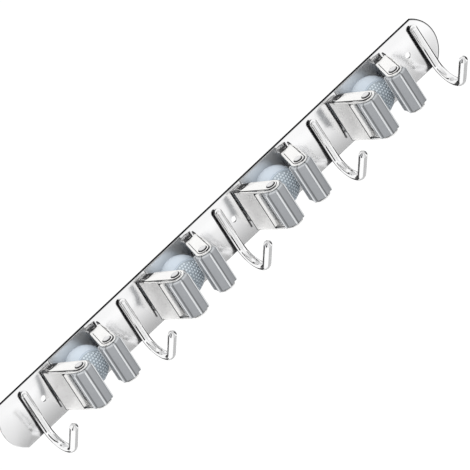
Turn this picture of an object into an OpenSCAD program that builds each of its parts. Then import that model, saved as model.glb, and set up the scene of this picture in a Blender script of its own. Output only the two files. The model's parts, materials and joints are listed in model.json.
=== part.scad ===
// Wall rack with sprung roller clips for long handles and rod hooks for cloths and brushes.
// The rack runs along X, Z is up and the front faces -Y.
// The origin is the middle of the plate's back face, which lies on the wall.

/* [Back plate] */
// Overall length of the plate, over its bowed ends
plate_len = 486; // [400:1:600]
// Height of the plate
plate_h = 45; // [43:0.5:60]
// Thickness of the plate
plate_t = 1.5; // [1:0.1:2.5]
// How far each bowed end stands out past its corners
end_rise = 12; // [4:0.5:16]
// Diameter of the screw holes
screw_hole_d = 5; // [3:0.5:5.5]

/* [Layout] */
// First hook, from the plate's left end
first_hook_inset = 31.4; // [25:0.1:40]
// Last hook, from the plate's right end
last_hook_inset = 15; // [12:0.1:30]
// First clip, to the right of the first hook
first_hook_gap = 53.1; // [48:0.1:56]
// Last clip, to the left of the last hook
last_hook_gap = 63.5; // [48:0.1:66]
// Place of each inner hook between its two clips, as a share of their distance
inner_hook_share = 0.53; // [0.46:0.001:0.55]
// First screw hole, to the right of the first hook
first_hole_gap = 13.1; // [7:0.1:16]
// Middle screw hole, to the right of the middle hook
middle_hole_gap = 9.5; // [7:0.1:12]
// Last screw hole, to the left of the last hook
last_hole_gap = 14.6; // [7:0.1:20]

/* [Hooks] */
// Diameter of the hook rod
rod_d = 6.8; // [4:0.1:8]
// Top of the rod, below the plate's top edge
rod_top_drop = 3.7; // [1:0.1:10]
// Length of the straight part of the rod
rod_straight = 38.8; // [30:0.1:60]
// Bend radius at the middle of the rod
hook_bend_r = 16; // [9:0.5:18]
// Lean of the front leg from the upright, in degrees
hook_lean = 44; // [20:1:60]
// Length of the front leg up to its tapered tip
hook_leg = 32; // [20:0.5:50]
// Length of the tapered tip
tip_len = 3; // [1:0.1:6]
// Diameter of the tip's end
tip_end_d = 2.4; // [1:0.1:3.5]
// Depth of the flat at the back of the rod
rod_flat = 0.4; // [0.1:0.1:1]

/* [Clip arms] */
// Height of an arm over its two ears
arm_h = 38; // [34:0.5:42]
// Sheet thickness of the arms
arm_t = 1.2; // [0.8:0.1:1.5]
// Outside of the side wall at its rear edge, past the hinge axis
wall_rear_out = 7.3; // [6.5:0.1:8]
// Outside of the side wall at its front fold, from the clip's middle
wall_front_x = 26.2; // [25.5:0.1:27.5]
// Rear edge of the side wall, in front of the plate
wall_rear_gap = 3; // [2.8:0.1:3.4]
// Front fold of the side wall, in front of the plate
wall_front_gap = 25.5; // [23:0.1:26]
// Length of the lip folded in at the front of the wall
lip_len = 5.5; // [3:0.1:6]
// Fold angle of the lip, in degrees
lip_fold = 60; // [40:1:75]
// Clear notch between the lip and each ear
lip_notch = 1.8; // [1:0.1:4]
// Radius of the ear's round end
ear_r = 7; // [6:0.1:8.5]
// Inner edge of the ear at its rear, inside the hinge axis
ear_rear_in = 3.6; // [3:0.1:4.5]
// Elbow in the ear's inner edge, from the clip's middle
ear_elbow_x = 16; // [14:0.1:18]
// Elbow in the ear's inner edge, in front of the plate
ear_elbow_gap = 13; // [11:0.1:16]
// Rear part of the ear past the hinge axis, up to the relief notch beside the wall
ear_rear_out = 2.9; // [2.5:0.1:4]
// Front end of the relief notch, in front of the plate
relief_gap = 10; // [8:0.1:12]
// Width of the brim round the raised land of an ear
brim_w = 2.2; // [1.5:0.1:2.6]
// Height of the raised land of an ear over its brim
land_h = 0.7; // [0.4:0.1:1]

/* [Rollers] */
// Roller axis, from the clip's middle
roller_x = 15.5; // [15:0.1:17]
// Roller axis, in front of the plate
roller_gap = 37.5; // [37:0.1:40]
// Radius of a roller over its beads
roller_r = 10.1; // [9:0.1:10.4]
// Distance across two opposite flats of a roller
roller_flats = 16.4; // [14:0.1:17.4]
// Radius of the bead along each roller corner
bead_r = 1.2; // [0.8:0.1:1.6]
// Play of a roller sleeve at each end
roller_end_play = 0.7; // [0.3:0.1:1.5]
// Diameter of the roller core
core_d = 8; // [6.5:0.1:9]
// Play of a roller core at each end
core_end_play = 0.2; // [0.1:0.05:0.4]
// Diameter of the roller pin
roller_pin_d = 4; // [3:0.1:5]
// Diameter of the domed head of the roller pin
pin_head_d = 8; // [6:0.1:11]
// Height of the domed head of the roller pin
pin_head_h = 1.8; // [1:0.1:3]
// Diameter of the riveted lower end of the roller pin
pin_foot_d = 6; // [5:0.1:8]
// Height of the riveted lower end of the roller pin
pin_foot_h = 0.8; // [0.5:0.1:1.5]

/* [Clip base and hinges] */
// Sheet thickness of the clip base
base_t = 1.2; // [0.8:0.1:1.5]
// Width of the clip base where it lies on the plate
base_w = 40; // [38:0.1:50]
// Depth of the clip base over its side flanges
base_depth = 7.2; // [6:0.1:8]
// Top of the clip base's web, below the plate's top edge
web_top_drop = 1; // [0.5:0.1:4]
// Radius of a hinge lug's round end
lug_r = 3; // [2.6:0.1:3.4]
// Hinge axis, outside the clip base's side flange
hinge_out = 3.6; // [3.4:0.1:4]
// Hinge axis, in front of the plate
hinge_gap = 6.6; // [6.4:0.1:6.9]
// Diameter of the hinge pin
hinge_pin_d = 3; // [2.4:0.1:3.2]
// Diameter of the hinge pin's heads
hinge_head_d = 4.4; // [4:0.1:5]
// Height of the hinge pin's heads
hinge_head_h = 0.4; // [0.3:0.1:1]

/* [Torsion springs] */
// Wire diameter
wire_d = 1.2; // [0.8:0.1:1.2]
// Coil radius at the middle of the wire
coil_r = 2.4; // [2.4:0.1:2.6]
// Full turns of the coil
coil_turns = 5; // [3:1:7]
// Clear gap between neighbouring turns
coil_gap = 0.5; // [0.45:0.05:0.8]
// Length of the leg that rests on the clip base
base_leg = 8; // [7.5:0.1:9]
// Length of the leg that reaches along the arm
arm_leg = 9; // [6:0.1:11]

/* [Pads] */
// Radius of the ball-shaped pad
pad_r = 17; // [14:0.1:17]
// Middle of the pad's ball, in front of the plate
pad_gap = 10.5; // [8:0.1:11]
// Diameter of the plug that holds the pad in the clip base
pad_plug_d = 10; // [6:0.1:14]
// Angle from the pad's front to the groove round its dotted cap, in degrees
pad_groove_angle = 58; // [40:1:70]
// Radius of the groove round the dotted cap
pad_groove_r = 0.6; // [0.3:0.1:1]

/* [Hidden] */
$fn = 48;

// Clearances
run_clear = 0.05;
fixed_clear = 0.02;
ear_clear = 0.15;
head_clear = 0.1;
wire_clear = 0.3;
seat_clear = 0.1;
cut_over = 1;

// Plate outline
corner_len = plate_len - 2 * end_rise;
end_arc_r = (pow(plate_h / 2, 2) + pow(end_rise, 2)) / (2 * end_rise);

// Places along the rack
clip_count = 4;
hook_count = clip_count + 1;
middle_hook = floor(hook_count / 2);
first_hook_x = first_hook_inset - plate_len / 2;
last_hook_x = plate_len / 2 - last_hook_inset;
first_clip_x = first_hook_x + first_hook_gap;
last_clip_x = last_hook_x - last_hook_gap;
clip_pitch = (last_clip_x - first_clip_x) / (clip_count - 1);
function clip_x(k) = first_clip_x + k * clip_pitch;
function hook_x(i) =
    i == 0 ? first_hook_x
    : i == clip_count ? last_hook_x
    : clip_x(i - 1) + inner_hook_share * clip_pitch;
screw_xs = [
    hook_x(0) + first_hole_gap,
    hook_x(middle_hook) + middle_hole_gap,
    hook_x(clip_count) - last_hole_gap
];

// Hook centreline
rod_gap = rod_d / 2 - rod_flat;
rod_top_z = plate_h / 2 - rod_top_drop;
bend_z = rod_top_z - rod_straight;
hook_turn = 180 - hook_lean;

// The leg reaches a little way into the bend and is a hair slimmer
leg_lap = 0.4;
leg_step = 0.02;
leg_d = rod_d - 2 * leg_step;

// Arm outline of a left arm, in plan: x along the rack, y away from the plate
hinge_x = base_w / 2 + hinge_out;
wall_rear_x = hinge_x + wall_rear_out;
wall_rear = [-wall_rear_x, wall_rear_gap];
wall_front = [-wall_front_x, wall_front_gap];
wall_lean = atan((wall_rear_x - wall_front_x) / (wall_front_gap - wall_rear_gap));
wall_in = [cos(wall_lean), -sin(wall_lean)];
lip_angle = wall_lean + lip_fold;
lip_along = [sin(lip_angle), cos(lip_angle)];
lip_in = [cos(lip_angle), -sin(lip_angle)];
lip_h = arm_h - 2 * (arm_t + lip_notch);
roller_axis = [-roller_x, roller_gap];
hinge_axis = [-hinge_x, hinge_gap];
ear_elbow = [-ear_elbow_x, ear_elbow_gap];
ear_rear = [ear_rear_in - hinge_x, wall_rear_gap];
relief_side_x = -hinge_x - ear_rear_out;
relief_share = (relief_gap - wall_rear_gap) / (wall_front_gap - wall_rear_gap);
relief_end = wall_rear + relief_share * (wall_front - wall_rear);
function tangent_point(from, middle, r, turn) =
    let (reach = from - middle, start = atan2(reach.y, reach.x), swing = acos(r / norm(reach)))
    middle + r * [cos(start + turn * swing), sin(start + turn * swing)];
ear_outer_tangent = tangent_point(wall_front, roller_axis, ear_r, -1);
ear_inner_tangent = tangent_point(ear_elbow, roller_axis, ear_r, 1);

// Corner of an outline that turns right, after its two edges moved inwards by a and b
function unit(v) = v / norm(v);
function inward(from, to) = let (along = unit(to - from)) [along.y, -along.x];
function inset_corner(before, corner, after, a, b) =
    let (m = inward(before, corner), n = inward(corner, after), d = m.x * n.y - m.y * n.x)
    corner + [a * n.y - b * m.y, b * m.x - a * n.x] / d;
land_r = ear_r - brim_w;

// Heights inside an arm
ear_inside_h = arm_h - 2 * arm_t;
roller_len = ear_inside_h - 2 * roller_end_play;
core_len = ear_inside_h - 2 * core_end_play;
base_h = ear_inside_h - 2 * ear_clear;
hinge_len = arm_h + 2 * head_clear;
ears_h = arm_h + 2 * land_h;
web_top_z = plate_h / 2 - web_top_drop;
web_h = web_top_z + base_h / 2;

// Roller section
roller_corners = 6;
roller_hex_r = roller_flats / 2 / cos(180 / roller_corners);
left_roller_turn = 47;
right_roller_turn = 22;

// Domed rivet head as a slice of a ball
dome_r = (pow(pin_head_d / 2, 2) + pow(pin_head_h, 2)) / (2 * pin_head_h);

// Spring wire as a path of places, each with the direction square to its bends
wire_sides = 6;
rings_per_turn = 8;
coil_pitch = wire_d + coil_gap;
base_leg_drop = hinge_gap - base_t - wire_d / 2 - seat_clear;
base_leg_reach = norm([coil_r, base_leg]);
base_leg_dip = asin(base_leg_drop / base_leg_reach) - atan(coil_r / base_leg);
base_leg_turn = -90 - base_leg_dip;
arm_leg_turn = -180 - wall_lean - 360 * coil_turns;
coil_sweep = base_leg_turn - arm_leg_turn;
coil_steps = round(coil_sweep / 360 * rings_per_turn);
coil_top_z = coil_pitch * coil_sweep / 360 / 2;
leg_bend_r = 1.5 * wire_d;
leg_bend_steps = 3;
leg_foot_z = -arm_h / 2 + arm_t / 4;
function radial(turn) = [cos(turn), sin(turn)];
function forward(turn) = [sin(turn), -cos(turn)];
function coil_place(i) =
    let (part = i / coil_steps, turn = base_leg_turn - part * coil_sweep)
    concat(hinge_axis + coil_r * radial(turn), [coil_top_z * (1 - 2 * part)]);
function coil_side(i) = radial(base_leg_turn - i / coil_steps * coil_sweep);
base_leg_end = hinge_axis + coil_r * radial(base_leg_turn) - base_leg * forward(base_leg_turn);
arm_leg_start = hinge_axis + coil_r * radial(arm_leg_turn);
arm_leg_end = arm_leg_start + arm_leg * forward(arm_leg_turn);
function leg_bend_place(i) =
    let (turn = 90 * i / leg_bend_steps)
    concat(
        arm_leg_end - leg_bend_r * (1 - sin(turn)) * forward(arm_leg_turn),
        [-coil_top_z - leg_bend_r * (1 - cos(turn))]
    );
wire_places = concat(
    [concat(base_leg_end, [coil_top_z])],
    [for (i = [0 : coil_steps]) coil_place(i)],
    [for (i = [0 : leg_bend_steps]) leg_bend_place(i)],
    [concat(arm_leg_end, [leg_foot_z])]
);
wire_sideways = concat(
    [coil_side(0)],
    [for (i = [0 : coil_steps]) coil_side(i)],
    [for (i = [0 : leg_bend_steps + 1]) coil_side(coil_steps)]
);
least_wire_gap = min([
    for (i = [0 : len(wire_places) - 1])
        for (j = [i + rings_per_turn - 2 : 1 : len(wire_places) - 1])
            norm(wire_places[i] - wire_places[j])
]) - wire_d;
echo(least_wire_gap = least_wire_gap);

// Places its children on the front of the plate at clip k
module at_clip(k) {
    translate([clip_x(k - 1), -plate_t, 0]) children();
}

// Turns a left-hand piece into a right-hand one
module handed(side) {
    if (side == "right") mirror([1, 0, 0]) children();
    else children();
}

// Raises a plan drawn with y away from the plate to height h about the middle height z
module raised(h, z = 0) {
    translate([0, 0, z]) linear_extrude(h, center = true) mirror([0, 1]) children();
}

// Upright round bar on a plan place
module upright(place, d, h, z = 0) {
    translate([place.x, -place.y, z]) cylinder(d = d, h = h, center = true);
}

module plate_outline() {
    intersection() {
        square([plate_len, plate_h], center = true);
        union() {
            square([corner_len, plate_h], center = true);
            for (end = [-1, 1]) translate([end * (plate_len / 2 - end_arc_r), 0]) circle(r = end_arc_r);
        }
    }
}

module back_plate() {
    color("gainsboro") rotate([90, 0, 0]) linear_extrude(plate_t) difference() {
        plate_outline();
        for (x = screw_xs) translate([x, 0]) circle(d = screw_hole_d);
    }
}

// Round bar standing on z = 0, with a ball-shaped top
module round_topped_bar(d, h) {
    rotate_extrude() intersection() {
        square([d / 2, h]);
        union() {
            square([d / 2, h - d / 2]);
            translate([0, h - d / 2]) circle(d = d);
        }
    }
}

// Round bar standing on z = 0, with a tapered tip
module tapered_bar(d, h, tip_d, tip_h) {
    rotate_extrude() polygon([[0, 0], [d / 2, 0], [d / 2, h], [tip_d / 2, h + tip_h], [0, h + tip_h]]);
}

module hook_rod() {
    translate([0, -rod_gap, bend_z]) round_topped_bar(rod_d, rod_straight);
    translate([0, -rod_gap - hook_bend_r, bend_z]) {
        rotate([-90, 0, 90]) rotate_extrude(angle = hook_turn)
            translate([hook_bend_r, 0]) circle(d = rod_d);
        rotate([hook_lean, 0, 0]) translate([0, -hook_bend_r, -leg_lap])
            tapered_bar(leg_d, hook_leg + leg_lap, tip_end_d, tip_len);
    }
}

module hook(i) {
    color("whitesmoke") translate([hook_x(i - 1), -plate_t, 0]) difference() {
        hook_rod();
        translate([-rod_d / 2 - cut_over, 0, bend_z - rod_d - cut_over])
            cube([rod_d + 2 * cut_over, rod_d, rod_straight + rod_d + 2 * cut_over]);
    }
}

module lug_outline() {
    translate([-hinge_x, hinge_gap - lug_r]) square([hinge_x - base_w / 2 + base_t, 2 * lug_r]);
    translate(hinge_axis) circle(r = lug_r);
}

// Slot in a side flange, for the spring's leg
module leg_slot() {
    raised(wire_d + 2 * wire_clear, coil_top_z)
        translate([-base_w / 2 - cut_over, base_t]) square([base_t + 2 * cut_over, base_depth]);
}

module clip_base(k) {
    color("silver") at_clip(k) difference() {
        union() {
            raised(web_h, web_top_z - web_h / 2) translate([-base_w / 2, 0]) square([base_w, base_t]);
            for (side = ["left", "right"]) handed(side) {
                raised(base_h) translate([-base_w / 2, 0]) square([base_t, base_depth]);
                for (end = [-1, 1]) raised(base_t, end * (base_h - base_t) / 2) lug_outline();
            }
        }
        for (side = ["left", "right"]) handed(side) {
            upright(hinge_axis, hinge_pin_d + 2 * fixed_clear, base_h + 2 * cut_over);
            leg_slot();
        }
        rotate([90, 0, 0]) cylinder(d = pad_plug_d + 2 * fixed_clear, h = base_t + cut_over);
    }
}

module hinge_pins() {
    head_z = (hinge_len + hinge_head_h) / 2;
    color("dimgray") for (k = [1 : clip_count]) for (side = ["left", "right"]) at_clip(k) handed(side) {
        upright(hinge_axis, hinge_pin_d, hinge_len);
        for (end = [-1, 1]) upright(hinge_axis, hinge_head_d, hinge_head_h, end * head_z);
    }
}

module ear_outline() {
    polygon([
        relief_end,
        wall_front,
        ear_outer_tangent,
        ear_inner_tangent,
        ear_elbow,
        ear_rear,
        [relief_side_x, wall_rear_gap],
        [relief_side_x, relief_gap]
    ]);
    translate(roller_axis) circle(r = ear_r);
}

// Raised land of an ear, inside its brim
module land_outline() {
    polygon([
        relief_end + arm_t * wall_in,
        inset_corner(wall_rear, wall_front, ear_outer_tangent, arm_t, brim_w),
        roller_axis + land_r * unit(ear_outer_tangent - roller_axis),
        roller_axis + land_r * unit(ear_inner_tangent - roller_axis),
        inset_corner(ear_inner_tangent, ear_elbow, ear_rear, brim_w, brim_w)
    ]);
    translate(roller_axis) circle(r = land_r);
}

module wall_outline() {
    polygon([wall_rear, wall_front, wall_front + arm_t * wall_in, wall_rear + arm_t * wall_in]);
}

module lip_outline() {
    lip_end = wall_front + lip_len * lip_along;
    polygon([wall_front, lip_end, lip_end + arm_t * lip_in, wall_front + arm_t * lip_in]);
}

module arm(side, k) {
    color("lightgray") at_clip(k) handed(side) difference() {
        union() {
            raised(arm_h) wall_outline();
            raised(lip_h) lip_outline();
            for (end = [-1, 1]) {
                raised(arm_t, end * (arm_h - arm_t) / 2) ear_outline();
                raised(arm_t + land_h, end * (ears_h - arm_t - land_h) / 2) land_outline();
            }
        }
        upright(hinge_axis, hinge_pin_d + 2 * run_clear, arm_h + 2 * cut_over);
        upright(roller_axis, roller_pin_d + 2 * fixed_clear, ears_h + 2 * cut_over);
        upright(arm_leg_end, wire_d + 2 * wire_clear, 2 * arm_t, -arm_h / 2);
    }
}

module roller_pin(side, k) {
    shank_len = ears_h + pin_foot_h;
    color("gray") at_clip(k) handed(side) {
        upright(roller_axis, roller_pin_d, shank_len, -pin_foot_h / 2);
        upright(roller_axis, pin_foot_d, pin_foot_h, -(ears_h + pin_foot_h) / 2);
        translate([roller_axis.x, -roller_axis.y, ears_h / 2]) intersection() {
            translate([0, 0, pin_head_h - dome_r]) sphere(r = dome_r);
            cylinder(d = pin_head_d, h = pin_head_h);
        }
    }
}

module roller_core(side, k) {
    color("darkgray") at_clip(k) handed(side) difference() {
        upright(roller_axis, core_d, core_len);
        upright(roller_axis, roller_pin_d + 2 * run_clear, core_len + 2 * cut_over);
    }
}

module roller_section() {
    difference() {
        union() {
            circle(r = roller_hex_r, $fn = roller_corners);
            for (i = [1 : roller_corners])
                rotate(i * 360 / roller_corners) translate([roller_r - bead_r, 0]) circle(r = bead_r);
        }
        circle(d = core_d + 2 * fixed_clear);
    }
}

module roller(side, k) {
    turn = side == "left" ? left_roller_turn : right_roller_turn;
    color("lightslategray") at_clip(k) handed(side)
        raised(roller_len) translate(roller_axis) rotate(turn) roller_section();
}

module spring_wire() {
    last = len(wire_places) - 1;
    function along(i) = wire_places[min(i + 1, last)] - wire_places[max(i - 1, 0)];
    function ring(i) =
        let (
            ahead = along(i) / norm(along(i)),
            side = concat(wire_sideways[i], [0]),
            up = cross(ahead, side)
        )
        [
            for (j = [0 : wire_sides - 1])
                let (turn = 360 * j / wire_sides)
                wire_places[i] + wire_d / 2 * (cos(turn) * side + sin(turn) * up / norm(up))
        ];
    rings = [for (i = [0 : last]) each ring(i)];
    function at(i, j) = i * wire_sides + j % wire_sides;
    polyhedron(
        points = [for (p = rings) [p.x, -p.y, p.z]],
        faces = concat(
            [for (j = [1 : wire_sides - 2]) [at(0, 0), at(0, j), at(0, j + 1)]],
            [for (j = [1 : wire_sides - 2]) [at(last, 0), at(last, j + 1), at(last, j)]],
            [
                for (i = [0 : last - 1]) for (j = [0 : wire_sides - 1])
                    each [
                        [at(i, j), at(i + 1, j + 1), at(i, j + 1)],
                        [at(i, j), at(i + 1, j), at(i + 1, j + 1)]
                    ]
            ]
        )
    );
}

module spring(side, k) {
    color("slategray") at_clip(k) handed(side) spring_wire();
}

// Half section of the pad, with y away from the plate: a ball cut flat on the clip base and its plug
module pad_section() {
    difference() {
        intersection() {
            translate([0, pad_gap]) circle(r = pad_r);
            translate([0, base_t]) square([pad_r, pad_gap + pad_r]);
        }
        translate([pad_r * sin(pad_groove_angle), pad_gap + pad_r * cos(pad_groove_angle)])
            circle(r = pad_groove_r);
    }
    square([pad_plug_d / 2, 2 * base_t]);
}

module pad(k) {
    color("lightsteelblue") at_clip(k) rotate([90, 0, 0]) rotate_extrude() pad_section();
}

back_plate();
hinge_pins();
for (i = [1 : hook_count]) hook(i);
for (k = [1 : clip_count]) {
    clip_base(k);
    pad(k);
    for (side = ["left", "right"]) {
        arm(side, k);
        spring(side, k);
        roller(side, k);
        roller_core(side, k);
        roller_pin(side, k);
    }
}
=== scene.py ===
import json
import math

import bmesh
import bpy
from mathutils import Matrix, Vector


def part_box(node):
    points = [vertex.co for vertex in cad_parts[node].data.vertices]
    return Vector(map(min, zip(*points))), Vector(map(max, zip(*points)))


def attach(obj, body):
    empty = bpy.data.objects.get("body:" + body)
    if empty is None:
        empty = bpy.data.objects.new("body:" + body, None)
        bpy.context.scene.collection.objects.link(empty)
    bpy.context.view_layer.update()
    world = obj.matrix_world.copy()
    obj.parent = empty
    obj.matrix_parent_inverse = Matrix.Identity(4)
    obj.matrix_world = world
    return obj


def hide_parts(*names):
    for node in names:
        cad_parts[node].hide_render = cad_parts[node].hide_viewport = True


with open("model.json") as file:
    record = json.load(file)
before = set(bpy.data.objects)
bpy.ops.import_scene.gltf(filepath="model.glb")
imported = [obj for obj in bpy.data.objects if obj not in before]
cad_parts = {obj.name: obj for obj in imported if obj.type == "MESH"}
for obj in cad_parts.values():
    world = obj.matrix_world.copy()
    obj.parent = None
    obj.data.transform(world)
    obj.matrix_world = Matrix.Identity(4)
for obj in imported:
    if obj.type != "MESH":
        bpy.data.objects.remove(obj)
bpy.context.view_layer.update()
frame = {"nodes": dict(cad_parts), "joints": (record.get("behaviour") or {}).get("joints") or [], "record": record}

# Places and sizes from the frame
NODES = frame["nodes"]
JOINTS = {joint["name"]: joint for joint in frame["joints"]}
MM = 0.001
SIGNS = {"left": -1, "right": 1}
CLIPS = (1, 2, 3, 4)
PLATE_LOW, PLATE_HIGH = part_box("back_plate")
FRONT_Y = PLATE_LOW.y
scene = bpy.context.scene


def middle(node):
    low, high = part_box(node)
    return (low + high) / 2


def reach(node, axis):
    low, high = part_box(node)
    return (high - low)[axis]


def clip_place(k):
    """The front of the plate behind clip k."""
    return Vector((middle(f"pad_{k}").x, FRONT_Y, 0))


def from_clip(point, k):
    """A place in the model as millimetres from the clip's middle and out from the plate."""
    away = (Vector(point) - clip_place(k)) / MM
    return abs(away.x), -away.y


HINGE = from_clip(JOINTS["arm_right_1_swing"]["pos_m"], 1)
ROLLER_AXIS = from_clip(JOINTS["roller_right_1_spin"]["pos_m"], 1)
ARM_H = reach("arm_right_1", 2) / MM
WALL_REAR_X = (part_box("arm_right_1")[1].x - clip_place(1).x) / MM
ROLLER_LEN = reach("roller_left_1", 2) / MM

# Sizes of the pressed arms, in millimetres as for the other pieces below
SHEET_T = 1.2
LAND_H, BRIM_W = 0.7, 2.2
BRIM_Z = ARM_H / 2 - LAND_H
WALL_REAR = (WALL_REAR_X, 3.0)
WALL_FRONT = (26.2, 25.5)
LIP_LEN, LIP_FOLD, LIP_NOTCH = 5.0, math.radians(45), 1.8
EAR_R = 7.0
EAR_ELBOW = (16.0, 13.0)
EAR_REAR = (HINGE[0] - 3.6, WALL_REAR[1])
RELIEF_X, RELIEF_GAP = HINGE[0] + 2.9, 10.0
RIM_R, LAND_EDGE_R, EDGE_STEPS = 0.5, 0.3, 3
LAND_DRAFT = 0.4
ARC_STEPS = 20
HINGE_HOLE_R, PIN_HOLE_R = 1.55, 2.02
FOLD_R, FOLD_STEPS, FOLD_LEAST = 0.5, 3, math.radians(40)
# Widths of the painted shade strips at the wall's rear edge and along its front fold
REAR_SHADE_W, FOLD_SHADE_W = 0.9, 1.0
JOIN_DISTANCE = 0.001
# Material slots of the arms: satin sheet, and painted shade on steps, folds and edges
SATIN, DARK = 0, 1

# Sizes of the plate
PLATE_EDGE_R = 0.6
PLATE_END_RISE = 12.0

# Sizes of the rollers
ROLLER_CORNERS = 6
ROLLER_R, ROLLER_FLATS, BEAD_R = 10.1, 16.4, 0.8
CORE_HOLE_R = 4.02
FLAT_CROWN = 0.25
ROLLER_EDGE_R, ROLLER_EDGE_STEPS = 1.6, 4
BEAD_CREST = 0.35
BEAD_POINTS, FLAT_POINTS = 9, 7
BEAD_STRIDE = BEAD_POINTS + FLAT_POINTS
ROLLER_TURN = {"left": math.radians(47), "right": math.radians(180 - 22)}

# Sizes of the pads
PAD_R = 17.0
PAD_MIDDLE = 10.5
PAD_SEAT = 1.2
PAD_PLUG_R = 5.0
GROOVE_ANGLE, GROOVE_R = math.radians(58), 0.6
CAP_STEPS, GROOVE_STEPS, BODY_STEPS, PAD_SIDES = 14, 6, 20, 96
DOT_PITCH, DOT_R, DOT_H = 2.8, 0.95, 0.4
DOT_ROW = DOT_PITCH * math.sqrt(3) / 2
DOT_MARGIN, DOT_SINK, DOT_SIDES = 0.3, 0.2, 9
DOT_RINGS = ((-DOT_SINK, 1.0), (0.55 * DOT_H, 0.86), (0.9 * DOT_H, 0.5))

# Sizes of the springs
WIRE_D, COIL_R, COIL_TURNS, COIL_GAP = 1.2, 2.4, 5, 0.5
BASE_T, SEAT_CLEAR = 1.2, 0.1
BASE_LEG, ARM_LEG = 8.0, 9.0
WIRE_BEND_R = 1.5 * WIRE_D
LEG_END_Z = SHEET_T / 4 - ARM_H / 2
WIRE_SIDES, RINGS_PER_TURN, BEND_STEPS = 10, 24, 6

# Sizes of painted shade lines and bands, in metres, and how far the plate's shading leans at its edges
TOP_RIM, FOOT_RIM, END_RIM = 0.0011, 0.0006, 0.0014
END_SHADE = 0.9
PLATE_BOW = 0.1
WELD_SHADE_OUT = 0.0072
HINGE_SHADE_END = 0.0105

# Camera at the photograph's angle
AZIMUTH, ELEVATION, ROLL = math.radians(22.5), math.radians(26), math.radians(33)
VIEW_WIDTH = 0.3632
LENS, SENSOR = 1500.0, 36.0
AIM_RIGHT, AIM_UP = 0.01144, -0.00209
CLIP_NEAR, CLIP_FAR = 0.1, 60


def add_camera():
    right = Vector((math.cos(AZIMUTH), -math.sin(AZIMUTH), 0))
    forward = Vector((math.sin(AZIMUTH), math.cos(AZIMUTH), 0))
    up = math.sin(ELEVATION) * forward + Vector((0, 0, math.cos(ELEVATION)))
    image_right = math.cos(ROLL) * right - math.sin(ROLL) * up
    image_up = math.sin(ROLL) * right + math.cos(ROLL) * up
    back = image_right.cross(image_up)
    aim = Vector((0, FRONT_Y, 0)) + AIM_RIGHT * image_right + AIM_UP * image_up
    data = bpy.data.cameras.new("camera")
    data.lens, data.sensor_width = LENS, SENSOR
    data.clip_start, data.clip_end = CLIP_NEAR, CLIP_FAR
    camera = bpy.data.objects.new("camera", data)
    scene.collection.objects.link(camera)
    turn = Matrix((image_right, image_up, back)).transposed().to_4x4()
    camera.matrix_world = Matrix.Translation(aim + back * VIEW_WIDTH * LENS / SENSOR) @ turn
    scene.camera = camera


add_camera()


# Mesh helpers
def new_mesh(name, bm, smooth_angle, **marks):
    """Turns a bmesh in millimetres into a smooth mesh in metres, with marks on chosen corners."""
    mesh = bpy.data.meshes.new(name)
    bm.verts.index_update()
    places = {mark: [corner.index for corner in chosen] for mark, chosen in marks.items()}
    bmesh.ops.scale(bm, vec=(MM, MM, MM), verts=bm.verts)
    bm.to_mesh(mesh)
    bm.free()
    for mark, chosen in places.items():
        layer = mesh.attributes.new(mark, "FLOAT", "POINT")
        for place in chosen:
            layer.data[place].value = 1.0
    mesh.shade_smooth()
    mesh.set_sharp_from_angle(angle=math.radians(smooth_angle))
    return mesh


def add_object(name, mesh, place):
    piece = bpy.data.objects.new(name, mesh)
    scene.collection.objects.link(piece)
    piece.location = place
    return piece


def ring_faces(bm, rings, closed=True):
    """Joins rings that turn left, from the top down, with four-sided faces that look outwards."""
    for a, b in zip(rings, rings[1:]):
        count = len(a)
        for i in range(count if closed else count - 1):
            j = (i + 1) % count
            bm.faces.new((a[i], b[i], b[j], a[j]))


def inset(points, distance):
    """Moves each edge of a left-turning outline inwards by a distance."""
    moved = []
    for i, point in enumerate(points):
        before, after = points[i - 1], points[(i + 1) % len(points)]
        n1 = Vector((before.y - point.y, point.x - before.x)).normalized()
        n2 = Vector((point.y - after.y, after.x - point.x)).normalized()
        moved.append(point + distance * (n1 + n2) / (1 + n1.dot(n2)))
    return moved


def tangent_angle(start, centre, r, turn):
    away = Vector(start) - Vector(centre)
    return math.atan2(away.y, away.x) + turn * math.acos(r / away.length)


# Pressed arms: an ear with a raised land at each end, a side wall and a folded lip
def in_plan(points):
    """Points as x from the clip's middle and distance from the plate, turned to a left-turning plan."""
    return [Vector((p.x, -p.y)) for p in reversed(points)]


def ear_ends(r):
    """The round front end of an ear, with radius r about the roller pin."""
    start = tangent_angle(WALL_FRONT, ROLLER_AXIS, EAR_R, 1)
    end = tangent_angle(EAR_ELBOW, ROLLER_AXIS, EAR_R, -1)
    if end < start:
        end += 2 * math.pi
    turns = [start + (end - start) * i / ARC_STEPS for i in range(ARC_STEPS + 1)]
    return [Vector(ROLLER_AXIS) + r * Vector((math.cos(t), math.sin(t))) for t in turns]


def notch_front():
    wall = Vector(WALL_FRONT) - Vector(WALL_REAR)
    return Vector(WALL_REAR) + (RELIEF_GAP - WALL_REAR[1]) / wall.y * wall


def fold_shade_end():
    """The rear side of the painted shade line along the wall's front fold."""
    return Vector(WALL_FRONT) + FOLD_SHADE_W * (Vector(WALL_REAR) - Vector(WALL_FRONT)).normalized()


def ear_points():
    """Plan of a right ear, turning left. It ends with the front fold, the rear end of the painted fold shade and
    the notch.
    """
    rear = [EAR_ELBOW, EAR_REAR, (RELIEF_X, EAR_REAR[1]), (RELIEF_X, RELIEF_GAP)]
    fold = [notch_front(), fold_shade_end(), Vector(WALL_FRONT)]
    return in_plan([*fold, *ear_ends(EAR_R), *(Vector(p) for p in rear)])


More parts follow.
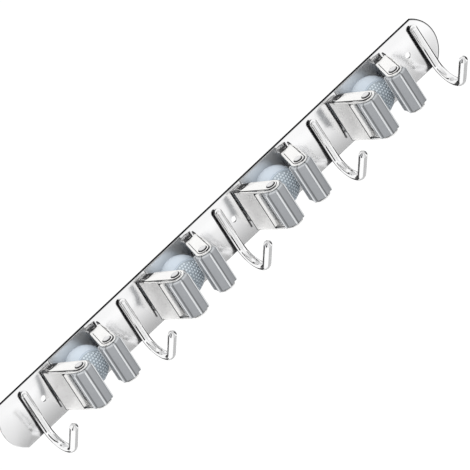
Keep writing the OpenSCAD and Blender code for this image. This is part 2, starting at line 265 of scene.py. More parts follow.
def land_points():
    """Plan of the raised land on a right ear."""
    ends = ear_ends(EAR_R)
    wall = Vector(WALL_FRONT) - Vector(WALL_REAR)
    wall_in = Vector((-wall.y, wall.x)).normalized()
    front = meet(Vector(WALL_REAR), Vector(WALL_FRONT), ends[0], SHEET_T, BRIM_W)
    elbow = meet(ends[-1], Vector(EAR_ELBOW), Vector(EAR_REAR), BRIM_W, BRIM_W)
    return in_plan([notch_front() + SHEET_T * wall_in, front, *ear_ends(EAR_R - BRIM_W), elbow])


def meet(before, corner, after, a, b):
    """Where two edges of a left-turning outline meet after they move inwards by a and b."""
    m, n = (Vector((p.y - q.y, q.x - p.x)).normalized() for p, q in ((before, corner), (corner, after)))
    d = m.x * n.y - m.y * n.x
    return corner + Vector((a * n.y - b * m.y, b * m.x - a * n.x)) / d


def rounded_edge(bm, points, r, top):
    """Rings of corners over a quarter round, from the flat down to the outline."""
    rings = []
    for i in range(EDGE_STEPS + 1):
        turn = math.pi / 2 * i / EDGE_STEPS
        ring = inset(points, r * (1 - math.sin(turn)))
        rings.append([bm.verts.new((p.x, p.y, top - r * (1 - math.cos(turn)))) for p in ring])
    return rings


def hole_ring(bm, centre, r, z):
    turns = [2 * math.pi * i / ARC_STEPS for i in range(ARC_STEPS)]
    return [bm.verts.new((centre[0] + r * math.cos(t), -centre[1] + r * math.sin(t), z)) for t in turns]


def fill(bm, loops, up=1):
    """Fills the flat between an outline and the holes in it, looking up or down."""
    edges = []
    for loop in loops:
        for a, b in zip(loop, loop[1:] + loop[:1]):
            edges.append(bm.edges.get((a, b)) or bm.edges.new((a, b)))
    made = bmesh.ops.triangle_fill(bm, use_beauty=True, use_dissolve=False, edges=edges)["geom"]
    for face in made:
        if isinstance(face, bmesh.types.BMFace):
            face.normal_update()
            if up * face.normal.z < 0:
                face.normal_flip()


def ear_shell():
    """The outside of an upper ear: land, step, brim and edge. The last ring is its lower edge."""
    bm = bmesh.new()
    land = rounded_edge(bm, land_points(), LAND_EDGE_R, ARM_H / 2)
    foot = [bm.verts.new((p.x, p.y, BRIM_Z)) for p in inset(land_points(), -LAND_DRAFT)]
    edge = rounded_edge(bm, ear_points(), RIM_R, BRIM_Z)
    edge.append([bm.verts.new((v.co.x, v.co.y, BRIM_Z - SHEET_T)) for v in edge[-1]])
    ring_faces(bm, land)
    # The step between land and brim takes the painted shade slot
    step_start = len(bm.faces)
    ring_faces(bm, [land[-1], foot])
    bm.faces.ensure_lookup_table()
    for face in bm.faces[step_start:]:
        face.material_index = DARK
    ring_faces(bm, edge)
    fill(bm, [land[0], hole_ring(bm, ROLLER_AXIS, PIN_HOLE_R, ARM_H / 2)])
    fill(bm, [edge[0], foot, hole_ring(bm, HINGE, HINGE_HOLE_R, BRIM_Z)])
    return bm, edge[-1]


def arm_mesh(side):
    bm, top = ear_shell()
    front, fold, notch = (corner.co.xy for corner in top[-3:])
    made = bmesh.ops.duplicate(bm, geom=bm.verts[:] + bm.edges[:] + bm.faces[:])["geom"]
    lower = [item for item in made if isinstance(item, bmesh.types.BMVert)]
    bmesh.ops.scale(bm, vec=(1, 1, -1), verts=lower)
    bmesh.ops.reverse_faces(bm, faces=[item for item in made if isinstance(item, bmesh.types.BMFace)])
    edge_z = BRIM_Z - SHEET_T
    lip_z = edge_z - LIP_NOTCH
    heights = (BRIM_Z, edge_z, lip_z, -lip_z, -edge_z, -BRIM_Z)
    rear = Vector((WALL_REAR[0], -WALL_REAR[1]))
    along = (Vector(WALL_FRONT) - Vector(WALL_REAR)).normalized()
    lean = math.atan2(along.x, along.y) - LIP_FOLD
    lip = front + LIP_LEN * Vector((math.sin(lean), -math.cos(lean)))
    rear_shade = rear + REAR_SHADE_W * (notch - rear).normalized()
    # The strip along the front fold and the strip at the rear edge take the painted shade slot
    strips = (
        (front, fold, heights[1:-1], DARK),
        (fold, notch, heights[1:-1], SATIN),
        (notch, rear_shade, heights, SATIN),
        (rear_shade, rear, heights, DARK),
        (lip, front, heights[2:-2], SATIN),
    )
    for a, b, zs, finish in strips:
        left = [bm.verts.new((*a, z)) for z in zs]
        right = [bm.verts.new((*b, z)) for z in zs]
        for i in range(len(zs) - 1):
            face = bm.faces.new((left[i], left[i + 1], right[i + 1], right[i]))
            face.material_index = finish
    bmesh.ops.remove_doubles(bm, verts=bm.verts, dist=JOIN_DISTANCE)
    if SIGNS[side] < 0:
        bmesh.ops.scale(bm, vec=(-1, 1, 1), verts=bm.verts)
        bmesh.ops.reverse_faces(bm, faces=bm.faces)
    return new_mesh(f"arm_{side}", bm, smooth_angle=35)


# Back plate: a flat sheet with bowed ends, rounded front edges and screw holes
def plate_end_r():
    """Radius of the plate's bowed ends."""
    half_h = PLATE_HIGH.z / MM
    return (half_h**2 + PLATE_END_RISE**2) / (2 * PLATE_END_RISE)


def plate_points():
    """Outline of the plate seen from the front, turning left."""
    half_len, half_h = PLATE_HIGH.x / MM, PLATE_HIGH.z / MM
    r = plate_end_r()
    reach_up = math.asin(half_h / r)
    points = []
    for end in (1, -1):
        for i in range(ARC_STEPS + 1):
            t = reach_up * (2 * i / ARC_STEPS - 1)
            points.append(end * Vector((half_len - r + r * math.cos(t), r * math.sin(t))))
    return points


def screw_places():
    mounts = {mount["name"]: mount for mount in frame["record"]["mounts"]}
    pair, single = mounts["wall_screws"], mounts["centre_screw"]
    half = pair["dims"]["spacing_x_mm"] / 2
    centre = pair["pos_m"][0] / MM
    return [centre - half, single["pos_m"][0] / MM, centre + half], single["dims"]["r_mm"]


def plate_mesh():
    bm = bmesh.new()
    thick = (PLATE_HIGH.y - PLATE_LOW.y) / MM
    edge = rounded_edge(bm, plate_points(), PLATE_EDGE_R, thick)
    edge.append([bm.verts.new((v.co.x, v.co.y, 0)) for v in edge[-1]])
    ring_faces(bm, edge)
    places, r = screw_places()
    fronts = [hole_ring(bm, (x, 0), r, thick) for x in places]
    backs = [hole_ring(bm, (x, 0), r, 0) for x in places]
    for front, back in zip(fronts, backs):
        ring_faces(bm, [back, front])
    fill(bm, [edge[0], *fronts])
    fill(bm, [edge[-1], *backs], -1)
    bmesh.ops.rotate(bm, verts=bm.verts, matrix=Matrix.Rotation(math.pi / 2, 3, "X"))
    return new_mesh("plate", bm, smooth_angle=40)


# Rollers: six slightly crowned flats between round beads, with rounded ends
def roller_points():
    """Section of a roller about its axis, turning left, with a bead at angle zero."""
    hex_turn = math.pi / ROLLER_CORNERS
    bead_out = ROLLER_R - BEAD_R
    flat_out = ROLLER_FLATS / 2
    bead_side = bead_out * math.sin(hex_turn)
    flat_rise = flat_out - bead_out * math.cos(hex_turn)
    groove = bead_side - math.sqrt(BEAD_R**2 - flat_rise**2)
    half = hex_turn + math.atan2(bead_side - groove, flat_rise)
    points = []
    for corner in range(ROLLER_CORNERS):
        turn = 2 * hex_turn * corner
        for i in range(BEAD_POINTS):
            t = half * (2 * i / (BEAD_POINTS - 1) - 1)
            bead = Vector((bead_out + BEAD_R * math.cos(t), BEAD_R * math.sin(t)))
            points.append(Matrix.Rotation(turn, 2) @ bead)
        for i in range(1, FLAT_POINTS + 1):
            t = 2 * i / (FLAT_POINTS + 1) - 1
            crown = Vector((flat_out + FLAT_CROWN * (1 - t * t), t * groove))
            points.append(Matrix.Rotation(turn + hex_turn, 2) @ crown)
    return points


def roller_mesh(side):
    bm = bmesh.new()
    turn = Matrix.Rotation(ROLLER_TURN[side], 2)
    outline = in_plan([turn @ p for p in roller_points()])
    rings = []
    for end in (1, -1):
        steps = range(ROLLER_EDGE_STEPS + 1) if end > 0 else range(ROLLER_EDGE_STEPS, -1, -1)
        hole = [bm.verts.new((*(CORE_HOLE_R * p.normalized()), end * ROLLER_LEN / 2)) for p in outline]
        edge = []
        for i in steps:
            t = math.pi / 2 * i / ROLLER_EDGE_STEPS
            shrink, drop = ROLLER_EDGE_R * (1 - math.sin(t)), ROLLER_EDGE_R * (1 - math.cos(t))
            ring = [p * (1 - shrink / p.length) for p in outline]
            edge.append([bm.verts.new((p.x, p.y, end * (ROLLER_LEN / 2 - drop))) for p in ring])
        rings += [hole, *edge] if end > 0 else [*edge, hole]
    ring_faces(bm, [*rings, rings[0]])
    # Marks for painted highlight on the bead crests and rounded ends, and for painted shade beside the beads
    crest = [v for v in bm.verts if v.co.xy.length > ROLLER_R - BEAD_CREST]
    rim = [v for v in bm.verts if abs(v.co.z) > ROLLER_LEN / 2 - ROLLER_EDGE_R / 2]
    beside_beads = (0, FLAT_POINTS + 1)
    groove = [v for ring in rings for i, v in enumerate(ring) if i % BEAD_STRIDE in beside_beads]
    return new_mesh(f"roller_{side}", bm, smooth_angle=40, crest=crest, rim=rim, groove=groove)


# Pads: a ball with a groove round its cap and rows of small raised dots
def pad_profile():
    """Half section as radius and distance from the plate, from the front of the ball to the plug."""
    groove_turn = GROOVE_R / PAD_R
    turns = [GROOVE_ANGLE * i / CAP_STEPS for i in range(CAP_STEPS + 1)]
    turns = [t for t in turns if t < GROOVE_ANGLE - groove_turn]
    points = [(PAD_R * math.sin(t), PAD_MIDDLE + PAD_R * math.cos(t)) for t in turns[1:]]
    centre = (PAD_R * math.sin(GROOVE_ANGLE), PAD_MIDDLE + PAD_R * math.cos(GROOVE_ANGLE))
    for i in range(GROOVE_STEPS + 1):
        t = GROOVE_ANGLE - math.pi / 2 - math.pi * i / GROOVE_STEPS
        points.append((centre[0] + GROOVE_R * math.sin(t), centre[1] + GROOVE_R * math.cos(t)))
    last = math.acos((PAD_SEAT - PAD_MIDDLE) / PAD_R)
    first = GROOVE_ANGLE + groove_turn
    for i in range(1, BODY_STEPS + 1):
        t = first + (last - first) * i / BODY_STEPS
        points.append((PAD_R * math.sin(t), PAD_MIDDLE + PAD_R * math.cos(t)))
    points += [(PAD_PLUG_R, PAD_SEAT), (PAD_PLUG_R, 0.0)]
    return points


def dot_turns():
    """Places of the dots on the cap, in rows that are set over by half a pitch."""
    reach_turns = GROOVE_ANGLE - (GROOVE_R + DOT_R + DOT_MARGIN) / PAD_R
    rows = math.ceil(reach_turns * PAD_R / DOT_ROW)
    for row in range(-rows, rows + 1):
        for column in range(-rows - 2, rows + 3):
            u = (column + (row % 2) / 2) * DOT_PITCH / PAD_R
            v = row * DOT_ROW / PAD_R
            if math.hypot(u, v) < reach_turns:
                yield math.hypot(u, v), math.atan2(v, u)


def pad_mesh():
    bm = bmesh.new()
    rings = []
    turns = [2 * math.pi * i / PAD_SIDES for i in range(PAD_SIDES)]
    for r, out in pad_profile():
        rings.append([bm.verts.new((r * math.cos(t), -out, r * math.sin(t))) for t in turns])
    ring_faces(bm, rings)
    tip = bm.verts.new((0, -PAD_MIDDLE - PAD_R, 0))
    for i in range(PAD_SIDES):
        bm.faces.new((tip, rings[0][i], rings[0][(i + 1) % PAD_SIDES]))
    bm.faces.new(reversed(rings[-1]))
    cap = [v for v in bm.verts if -v.co.y - PAD_MIDDLE > PAD_R * math.cos(GROOVE_ANGLE)]
    dots = []
    for tilt, turn in dot_turns():
        face = Matrix.Rotation(turn, 3, "Y") @ Matrix.Rotation(tilt, 3, "Z")
        base = Vector((0, -PAD_MIDDLE, 0))
        dome = []
        for height, width in DOT_RINGS:
            dome.append([])
            for i in range(DOT_SIDES):
                t = 2 * math.pi * i / DOT_SIDES
                spot = Vector((DOT_R * width * math.cos(t), -PAD_R - height, DOT_R * width * math.sin(t)))
                dome[-1].append(bm.verts.new(base + face @ spot))
        crest = bm.verts.new(base + face @ Vector((0, -PAD_R - DOT_H, 0)))
        ring_faces(bm, dome[::-1])
        for i in range(DOT_SIDES):
            bm.faces.new((crest, dome[-1][i], dome[-1][(i + 1) % DOT_SIDES]))
        dots += [crest, *dome[1], *dome[2]]
    bmesh.ops.recalc_face_normals(bm, faces=bm.faces)
    return new_mesh("pad", bm, smooth_angle=50, cap=cap, dot=dots)


# Springs: one round wire from the clip base round the hinge pin and along the arm
def spring_path():
    """Centreline of a right spring with the direction square to each bend, in millimetres."""
    hinge = Vector((-HINGE[0], HINGE[1]))
    wall_lean = math.atan2(WALL_REAR[0] - WALL_FRONT[0], WALL_FRONT[1] - WALL_REAR[1])
    drop = HINGE[1] - BASE_T - WIRE_D / 2 - SEAT_CLEAR
    dip = math.asin(drop / math.hypot(COIL_R, BASE_LEG)) - math.atan2(COIL_R, BASE_LEG)
    first = -math.pi / 2 - dip
    last = -math.pi - wall_lean - 2 * math.pi * COIL_TURNS
    steps = round((first - last) / (2 * math.pi) * RINGS_PER_TURN)
    top = (WIRE_D + COIL_GAP) * (first - last) / (2 * math.pi) / 2

    def radial(t):
        return Vector((math.cos(t), math.sin(t)))

    def ahead(t):
        return Vector((math.sin(t), -math.cos(t)))

    def at(place, z):
        return Vector((*place, z))

    start = hinge + COIL_R * radial(first) - BASE_LEG * ahead(first)
    path = [(at(start, top), radial(first))]
    for i in range(steps + 1):
        t = first + (last - first) * i / steps
        path.append((at(hinge + COIL_R * radial(t), top * (1 - 2 * i / steps)), radial(t)))
    foot = hinge + COIL_R * radial(last) + ARM_LEG * ahead(last)
    for i in range(BEND_STEPS + 1):
        t = math.pi / 2 * i / BEND_STEPS
        spot = foot - WIRE_BEND_R * (1 - math.sin(t)) * ahead(last)
        path.append((at(spot, -top - WIRE_BEND_R * (1 - math.cos(t))), radial(last)))
    path.append((at(foot, LEG_END_Z), radial(last)))
    return path


def spring_mesh(side):
    bm = bmesh.new()
    path = spring_path()
    rings = []
    for i, (spot, across) in enumerate(path):
        ahead = (path[min(i + 1, len(path) - 1)][0] - path[max(i - 1, 0)][0]).normalized()
        across = across.to_3d()
        up = ahead.cross(across).normalized()
        rings.append([])
        for j in range(WIRE_SIDES):
            t = 2 * math.pi * j / WIRE_SIDES
            p = spot + WIRE_D / 2 * (math.cos(t) * across + math.sin(t) * up)
            rings[-1].append(bm.verts.new((-p.x * SIGNS[side], -p.y, p.z)))
    ring_faces(bm, rings)
    bm.faces.new(rings[0])
    bm.faces.new(rings[-1])
    bmesh.ops.recalc_face_normals(bm, faces=bm.faces)
    return new_mesh(f"spring_{side}", bm, smooth_angle=60)


# Materials
# Near-black colour of painted shade on the plate's edges and the arms' hinge ends
PAINTED_SHADE = (0.03, 0.03, 0.032)


class Look:
    """A procedural material. Its colour and roughness are what a viewer without nodes shows."""

    def __init__(self, name, color, rough, metallic=0.0):
        self.material = bpy.data.materials.new(name)
        self.material.use_nodes = True
        self.tree = self.material.node_tree
        self.shader = self.tree.nodes["Principled BSDF"]
        self.set("Base Color", (*color, 1))
        self.set("Roughness", rough)
        self.set("Metallic", metallic)

    def set(self, socket, value):
        self.shader.inputs[socket].default_value = value

    def drive(self, socket, source):
        self.tree.links.new(source, self.shader.inputs[socket])

    def node(self, kind, sockets=(), **settings):
        made = self.tree.nodes.new("ShaderNode" + kind)
        for key, value in settings.items():
            setattr(made, key, value)
        for key, value in dict(sockets).items():
            if isinstance(value, bpy.types.NodeSocket):
                self.tree.links.new(value, made.inputs[key])
            else:
                made.inputs[key].default_value = value
        return made

    def noise(self, scale, stretch=(1, 1, 1), detail=3.0):
        place = self.node("TexCoord").outputs["Object"]
        spread = self.node("Mapping", {"Vector": place, "Scale": stretch}).outputs[0]
        return self.node("TexNoise", {"Vector": spread, "Scale": scale, "Detail": detail}).outputs[0]

    def spread(self, source, low, high, start=0.3, end=0.7):
        sockets = {"Value": source, "From Min": start, "From Max": end, "To Min": low, "To Max": high}
        return self.node("MapRange", sockets).outputs[0]

    def mix(self, share, a, b):
        colors = [value if isinstance(value, bpy.types.NodeSocket) else (*value, 1) for value in (a, b)]
        return self.node("Mix", {0: share, 6: colors[0], 7: colors[1]}, data_type="RGBA").outputs[2]

    def bump(self, source, depth, strength=0.5):
        made = self.node("Bump", {"Height": source, "Distance": depth, "Strength": strength})
        self.drive("Normal", made.outputs[0])

    def product(self, a, b):
        return self.node("Math", {0: a, 1: b}, operation="MULTIPLY").outputs[0]

    def greater(self, a, b):
        return self.node("Math", {0: a, 1: b}, operation="MAXIMUM").outputs[0]

    def attribute(self, name):
        return self.node("Attribute", attribute_name=name).outputs["Fac"]

    def part(self, place, axis):
        """One axis of the texture place or normal."""
        return self.node("SeparateXYZ", {0: self.node("TexCoord").outputs[place]}).outputs[axis]

    def facing(self, axis):
        """How squarely a face looks along an axis, either way."""
        return self.node("Math", {0: self.part("Normal", axis)}, operation="ABSOLUTE").outputs[0]


def end_rim(look):
    """A thin painted shade line along the plate's bowed right end."""
    r = plate_end_r() * MM
    sockets = {0: look.part("Object", "X"), 1: PLATE_HIGH.x - r}
    out = look.greater(look.node("Math", sockets, operation="SUBTRACT").outputs[0], 0.0)
    away = look.node("CombineXYZ", {"X": out, "Z": look.part("Object", "Z")}).outputs[0]
    length = look.node("VectorMath", {0: away}, operation="LENGTH").outputs["Value"]
    return look.spread(length, 0, END_SHADE, r - END_RIM, r - END_RIM / 2)


def polished_steel():
    """Polished sheet with faint cloudiness, painted near-black shade on its edges that is paler on the left, and a
    dull back.
    """
    look = Look("polished_steel", (0.93, 0.93, 0.935), 0.15, 1)
    # Painted shade: side edges, the top and bottom edges and the bowed right end are painted near black, less on
    # edges that face left
    edge_shade = look.spread(look.facing("Y"), 1, 0, 0.4, 0.8)
    edge_shade = look.product(edge_shade, look.spread(look.part("Normal", "X"), 0.4, 1, -0.5, -0.3))
    rim = look.spread(look.part("Object", "Z"), 0, 1, PLATE_HIGH.z - TOP_RIM, PLATE_HIGH.z - TOP_RIM / 2)
    foot = look.spread(look.part("Object", "Z"), 1, 0, PLATE_LOW.z + FOOT_RIM / 2, PLATE_LOW.z + FOOT_RIM)
    edge = look.greater(look.greater(edge_shade, end_rim(look)), look.greater(rim, foot))
    sheet = look.mix(look.spread(look.noise(35), 0, 1), (0.92, 0.92, 0.925), (0.95, 0.95, 0.955))
    back = look.spread(look.part("Normal", "Y"), 0, 1, 0.5, 0.9)
    dull = look.mix(look.noise(140), (0.44, 0.44, 0.445), (0.52, 0.52, 0.525))
    sheet = look.mix(back, sheet, dull)
    look.drive("Metallic", look.spread(back, 1, 0.3, 0, 1))
    look.drive("Base Color", look.mix(edge, sheet, PAINTED_SHADE))
    rough = look.spread(look.noise(60, (1, 1, 12)), 0.14, 0.16)
    look.drive("Roughness", look.greater(rough, look.greater(edge, look.spread(back, 0, 0.5, 0, 1))))
    lean = look.spread(look.part("Object", "Z"), -PLATE_BOW, PLATE_BOW, PLATE_LOW.z, PLATE_HIGH.z)
    tilt = look.node("CombineXYZ", {"Z": lean}).outputs[0]
    normal = look.node("NewGeometry").outputs["Normal"]
    bowed = look.node("VectorMath", {0: normal, 1: tilt}, operation="ADD").outputs[0]
    look.drive("Normal", look.node("VectorMath", {0: bowed}, operation="NORMALIZE").outputs[0])
    return look.material


def polished_rod():
    """Drawn and polished rod, with painted near-black shade on its left side next to the plate."""
    look = Look("polished_rod", (0.95, 0.95, 0.95), 0.1, 1)
    bright = look.mix(look.noise(80), (0.93, 0.93, 0.935), (0.97, 0.97, 0.97))
    # Painted shade: rear-facing surfaces on the rod's left side within a few millimetres of the plate are painted
    # near black
    back = look.spread(look.part("Normal", "Y"), 0, 1, -0.18, -0.08)
    near = look.spread(look.part("Object", "Y"), 0, 1, FRONT_Y - WELD_SHADE_OUT, FRONT_Y - WELD_SHADE_OUT + MM)
    left = look.spread(look.part("Normal", "X"), 1, 0, -0.1, 0.1)
    weld_shade = look.product(look.product(back, near), left)
    look.drive("Base Color", look.mix(weld_shade, bright, (0.012, 0.012, 0.013)))
    look.drive("Roughness", look.spread(look.noise(120, (1, 1, 0.2)), 0.09, 0.11))
    return look.material


def pressed_steel():
    """Satin pressed sheet with a fine brushed grain, faint cloudiness and painted near-black shade on the flats at
    the hinge end.
    """
    look = Look("pressed_steel", (0.965, 0.96, 0.95), 0.36, 1)
    satin = look.mix(look.noise(90), (0.945, 0.94, 0.93), (0.985, 0.98, 0.97))
    # Painted shade: flat faces close to the plate, at the hinge end, are painted near black
    flat = look.spread(look.facing("Z"), 0, 1, 0.5, 0.7)
    near = look.spread(look.part("Object", "Y"), 0, 1, -HINGE_SHADE_END, -HINGE_SHADE_END + MM)
    look.drive("Base Color", look.mix(look.product(flat, near), satin, PAINTED_SHADE))
    look.drive("Roughness", look.spread(look.noise(700, (1, 0.08, 1)), 0.34, 0.38))
    return look.material


def base_steel():
    """Unpolished sheet of the clip bases, with painted shade: darker towards the right and on its folded sides."""
    look = Look("base_steel", (0.88, 0.885, 0.89), 0.38, 1)
    side = look.spread(look.facing("X"), 0, 1, 0.3, 0.7)
    # Painted shade: the sheet darkens towards the right
    across = look.spread(look.part("Generated", "X"), 0, 1, 0.1, 0.8)
    sheet = look.mix(across, (0.97, 0.975, 0.98), (0.8, 0.805, 0.81))
    sheet = look.mix(look.spread(look.noise(70), 0, 0.12), sheet, (0.4, 0.4, 0.4))
    # Painted shade on the sides: near black where they face +X, mid grey where they face -X
    paler_side = look.spread(look.part("Normal", "X"), 0, 1, 0.3, -0.3)
    bent_side_shade = look.mix(paler_side, (0.02, 0.02, 0.021), (0.5, 0.5, 0.505))
    look.drive("Base Color", look.mix(side, sheet, bent_side_shade))
    look.drive("Roughness", look.spread(look.noise(500), 0.34, 0.42))
    return look.material


def pressed_step_shade():
    """Painted near-black shade for the steps, folds and edges of the pressed sheet, dull with a faint mottle."""
    look = Look("pressed_step_shade", (0.05, 0.05, 0.052), 0.4, 1)
    look.drive("Base Color", look.mix(look.noise(300), (0.02, 0.02, 0.022), (0.08, 0.08, 0.083)))
    look.drive("Roughness", look.spread(look.noise(500), 0.3, 0.5))
    return look.material


def pin_steel():
    """Headed pins with fine turning marks and painted near-black shade on the steep sides of each head."""
    look = Look("pin_steel", (0.78, 0.78, 0.79), 0.29, 1)
    steel = look.mix(look.noise(400), (0.72, 0.72, 0.73), (0.84, 0.84, 0.845))
    # Painted shade: where a head's surface turns steeply away from the top it is painted near black
    rim = look.spread(look.part("Normal", "Z"), 1, 0, 0.78, 0.86)
    look.drive("Base Color", look.mix(rim, steel, (0.04, 0.04, 0.042)))
    look.drive("Roughness", look.spread(look.noise(900), 0.28, 0.32))
    return look.material


def spring_steel():
    """Bare drawn wire, darker than the sheet."""
    look = Look("spring_steel", (0.28, 0.29, 0.31), 0.3, 1)
    look.drive("Base Color", look.mix(look.noise(600), (0.22, 0.23, 0.25), (0.34, 0.35, 0.37)))
    look.drive("Roughness", look.spread(look.noise(900), 0.22, 0.4))
    return look.material


def grey_rubber():
    """Smooth moulded rubber, with painted highlight along the crests of its beads and on its rounded ends, and
    painted shade beside the beads.
    """
    look = Look("grey_rubber", (0.40, 0.415, 0.435), 0.38)
    speckle = look.mix(look.noise(1400), (0.375, 0.39, 0.41), (0.42, 0.435, 0.455))
    # Painted highlight on the rounded ends and bead crests, painted shade in the grooves beside the beads
    ends = look.mix(look.attribute("rim"), speckle, (0.55, 0.57, 0.59))
    groove_shade = look.mix(look.attribute("groove"), ends, (0.12, 0.125, 0.13))
    look.drive("Base Color", look.mix(look.attribute("crest"), groove_shade, (0.86, 0.88, 0.90)))
    look.drive("Roughness", look.spread(look.noise(500), 0.32, 0.46))
    look.bump(look.noise(3000), 0.00003, 0.15)
    return look.material


def core_plastic():
    """Moulded plastic of the roller cores, with a faint mottle."""
    look = Look("core_plastic", (0.36, 0.37, 0.39), 0.5)
    look.drive("Base Color", look.mix(look.noise(800), (0.33, 0.34, 0.36), (0.39, 0.40, 0.42)))
    look.drive("Roughness", look.spread(look.noise(600), 0.42, 0.58))
    return look.material


def soft_pad():
    """Pale blue moulded rubber with a duller cap and paler raised dots."""
    look = Look("soft_pad", (0.62, 0.69, 0.77), 0.35)
    body = look.mix(look.noise(160), (0.60, 0.68, 0.77), (0.66, 0.73, 0.80))
    cap = look.mix(look.attribute("cap"), body, (0.42, 0.48, 0.53))
    look.drive("Base Color", look.mix(look.attribute("dot"), cap, (0.76, 0.84, 0.90)))
    look.drive("Roughness", look.spread(look.noise(700), 0.3, 0.42))
    look.bump(look.noise(2600), 0.00003, 0.2)
    return look.material


STEELS = (polished_steel, polished_rod, pressed_steel, pin_steel, spring_steel)
MOULDED = (grey_rubber, core_plastic, soft_pad)
LOOKS = {finish.__name__: finish() for finish in (*STEELS, *MOULDED)}
STEP_SHADE_LOOK = pressed_step_shade()
BASE_LOOK = base_steel()
for part in frame["record"]["subparts"]:
    node = NODES[part["node"]]
    look = LOOKS[part["material_slot"]]
    if part["node"].startswith("clip_base"):
        look = BASE_LOOK
    if part["node"] == "hinge_pins":
        look = LOOKS["pressed_steel"]
    node.data.materials.clear()
    node.data.materials.append(look)


# Pieces in place of the plain solids
def dress(piece, node, body):
    """Puts a piece in place of a CAD node, on that node's body."""
    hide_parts(node)
    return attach(piece, body)


def finished(mesh, *looks):
    for look in looks:
        mesh.materials.append(look)
    return mesh


def fold_and_thicken(arm):
    fold = arm.modifiers.new("fold", "BEVEL")
    fold.width, fold.segments = FOLD_R * MM, FOLD_STEPS
    fold.limit_method, fold.angle_limit = "ANGLE", FOLD_LEAST
    # The rounding of each fold takes the painted shade slot
    fold.material = DARK
    sheet = arm.modifiers.new("sheet", "SOLIDIFY")
    sheet.thickness, sheet.offset = SHEET_T * MM, -1


sheet = finished(plate_mesh(), LOOKS["polished_steel"])
dress(add_object("sheet", sheet, (0, PLATE_HIGH.y, 0)), "back_plate", "rack")
pad = finished(pad_mesh(), LOOKS["soft_pad"])
arms = {side: finished(arm_mesh(side), LOOKS["pressed_steel"], STEP_SHADE_LOOK) for side in SIGNS}
rollers = {side: finished(roller_mesh(side), LOOKS["grey_rubber"]) for side in SIGNS}
springs = {side: finished(spring_mesh(side), LOOKS["spring_steel"]) for side in SIGNS}
for k in CLIPS:
    place = clip_place(k)
    ball = dress(add_object(f"ball_{k}", pad, place), f"pad_{k}", "rack")
    for side, sign in SIGNS.items():
        name = f"{side}_{k}"
        wire = add_object(f"wire_{name}", springs[side], place)
        dress(wire, f"spring_{name}", "rack")
        arm = add_object(f"pressed_arm_{name}", arms[side], place)
        dress(arm, f"arm_{name}", f"arm_{name}_body")
        fold_and_thicken(arm)
        axis = place + MM * Vector((sign * ROLLER_AXIS[0], -ROLLER_AXIS[1], 0))
        sleeve = add_object(f"sleeve_{name}", rollers[side], axis)
        dress(sleeve, f"roller_{name}", f"roller_{name}_body")

# Floor and light
FLOOR_Z, FLOOR_SIZE = -4.0, 40.0
FLOOR_SHADE, FLOOR_GLOW, FLOOR_WHITE = (0.8, 0.8, 0.8, 1), 1.1, 0.9
FLAG_DISTANCE, FLAG_STEPS = 3.2, 12
WORLD_LIGHT = 0.7
KEY_PLACE, KEY_SIZE, KEY_POWER = (-0.6, -0.8, 1.1), 0.8, 9


def whiteness(tree):
    """One where a ray comes from the camera, a reflection or through glass, and zero elsewhere."""
    path = tree.nodes.new("ShaderNodeLightPath")
    share = path.outputs["Is Camera Ray"]
    for name in ("Is Glossy Ray", "Is Transmission Ray"):
        most = tree.nodes.new("ShaderNodeMath")
        most.operation = "MAXIMUM"
        tree.links.new(share, most.inputs[0])
        tree.links.new(path.outputs[name], most.inputs[1])
        share = most.outputs[0]
    return share


def add_world():
    world = bpy.data.worlds.new("studio")
    world.use_nodes = True
    world.cycles.sampling_method = "NONE"
    scene.world = world
    tree = world.node_tree
    back = tree.nodes["Background"]
    back.inputs["Color"].default_value = (1, 1, 1, 1)
    level = tree.nodes.new("ShaderNodeMapRange")
    level.inputs["To Min"].default_value = WORLD_LIGHT
    level.inputs["To Max"].default_value = 1.0
    tree.links.new(whiteness(tree), level.inputs["Value"])
    tree.links.new(level.outputs["Result"], back.inputs["Strength"])


def stage_mesh(name, corners, faces, material):
    mesh = bpy.data.meshes.new(name)
    mesh.from_pydata([tuple(c) for c in corners], [], faces)
    mesh.materials.append(material)
    material.cycles.emission_sampling = "NONE"
    made = add_object(name, mesh, (0, 0, 0))
    return made


def add_floor():
    """A pale floor that reads as white, keeps a soft shadow and lets a view from below through."""
    material = bpy.data.materials.new("floor")
    material.use_nodes = True
    tree = material.node_tree
    tree.nodes.remove(tree.nodes["Principled BSDF"])
    matt = tree.nodes.new("ShaderNodeBsdfDiffuse")
    matt.inputs["Color"].default_value = FLOOR_SHADE
    glow = tree.nodes.new("ShaderNodeEmission")
    glow.inputs["Strength"].default_value = FLOOR_GLOW
    clear = tree.nodes.new("ShaderNodeBsdfTransparent")
    white = tree.nodes.new("ShaderNodeMixShader")
    share = tree.nodes.new("ShaderNodeMath")
    share.operation = "MULTIPLY"
    share.inputs[1].default_value = FLOOR_WHITE
    below = tree.nodes.new("ShaderNodeMixShader")
    side = tree.nodes.new("ShaderNodeNewGeometry")
    tree.links.new(whiteness(tree), share.inputs[0])
    tree.links.new(share.outputs[0], white.inputs[0])
    tree.links.new(matt.outputs[0], white.inputs[1])
    tree.links.new(glow.outputs[0], white.inputs[2])
    tree.links.new(side.outputs["Backfacing"], below.inputs[0])
    tree.links.new(white.outputs[0], below.inputs[1])
    tree.links.new(clear.outputs[0], below.inputs[2])
    tree.links.new(below.outputs[0], tree.nodes["Material Output"].inputs["Surface"])
    half = FLOOR_SIZE / 2
    corners = [(x, y, FLOOR_Z) for x, y in ((-half, -half), (half, -half), (half, half), (-half, half))]
    stage_mesh("floor", corners, [range(4)], material)


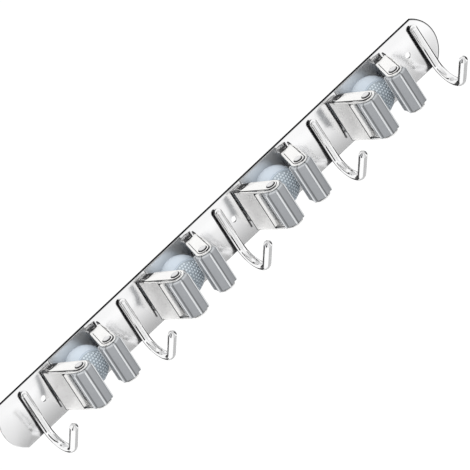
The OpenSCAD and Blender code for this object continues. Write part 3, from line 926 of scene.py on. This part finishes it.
def graded(name, shades, heights):
    """A surface that glows from one shade at its foot to another at its top."""
    material = bpy.data.materials.new(name)
    material.use_nodes = True
    tree = material.node_tree
    tree.nodes.remove(tree.nodes["Principled BSDF"])
    light = tree.nodes.new("ShaderNodeEmission")
    place = tree.nodes.new("ShaderNodeTexCoord")
    axes = tree.nodes.new("ShaderNodeSeparateXYZ")
    grade = tree.nodes.new("ShaderNodeMapRange")
    for ends, values in (("From", heights), ("To", shades)):
        grade.inputs[ends + " Min"].default_value = values[0]
        grade.inputs[ends + " Max"].default_value = values[1]
    tree.links.new(place.outputs["Object"], axes.inputs[0])
    tree.links.new(axes.outputs["Z"], grade.inputs["Value"])
    tree.links.new(grade.outputs["Result"], light.inputs["Strength"])
    tree.links.new(light.outputs[0], tree.nodes["Material Output"].inputs["Surface"])
    return material


def only_reflected(card):
    card.visible_camera = False
    card.visible_diffuse = False
    card.visible_transmission = False
    card.visible_shadow = False
    card.visible_volume_scatter = False


def add_flag(name, azimuths, elevations, shades):
    """A curved studio flag that shows only in reflections, placed by its directions in degrees."""
    rises = [math.radians(rise) for rise in elevations]
    corners = []
    for i in range(FLAG_STEPS + 1):
        turn = math.radians(azimuths[0] + (azimuths[1] - azimuths[0]) * i / FLAG_STEPS)
        for rise in rises:
            level = Vector((math.cos(turn), math.sin(turn), math.tan(rise)))
            corners.append(FLAG_DISTANCE * level.normalized())
    faces = [(i, i + 2, i + 3, i + 1) for i in range(0, 2 * FLAG_STEPS, 2)]
    heights = [FLAG_DISTANCE * math.sin(rise) for rise in rises]
    only_reflected(stage_mesh(name, corners, faces, graded(name, shades, heights)))


def add_lamp(name, place, size, power):
    data = bpy.data.lights.new(name, "AREA")
    data.shape, data.size, data.energy = "DISK", size, power
    lamp = bpy.data.objects.new(name, data)
    scene.collection.objects.link(lamp)
    lamp.location = place
    lamp.rotation_euler = (-Vector(place)).to_track_quat("-Z", "Y").to_euler()
    lamp.visible_glossy = False


# Flags by their directions round and up, in degrees, and their shades at the foot and top
FLAGS = {
    "left_flag": ((176, 213), (-29.5, -22.5), (0, 0)),
    "upper_flag": ((186, 213), (-12, 60), (0, 0)),
    "rear_flag": ((-15, 115), (-41, -6), (0.05, 0.05)),
    "lower_flag": ((276, 316), (-54, -20), (0.36, 1)),
    "right_flag": ((-40, 105), (-76, -43), (0.5, 0.62)),
    "front_low_flag": ((222, 276), (-60, -12), (0.6, 1.0)),
    "front_high_flag": ((222, 316), (5, 70), (0.95, 0.6)),
}

add_world()
add_floor()
for name, places in FLAGS.items():
    add_flag(name, *places)
add_lamp("key", KEY_PLACE, KEY_SIZE, KEY_POWER)
scene.view_settings.view_transform = "Standard"
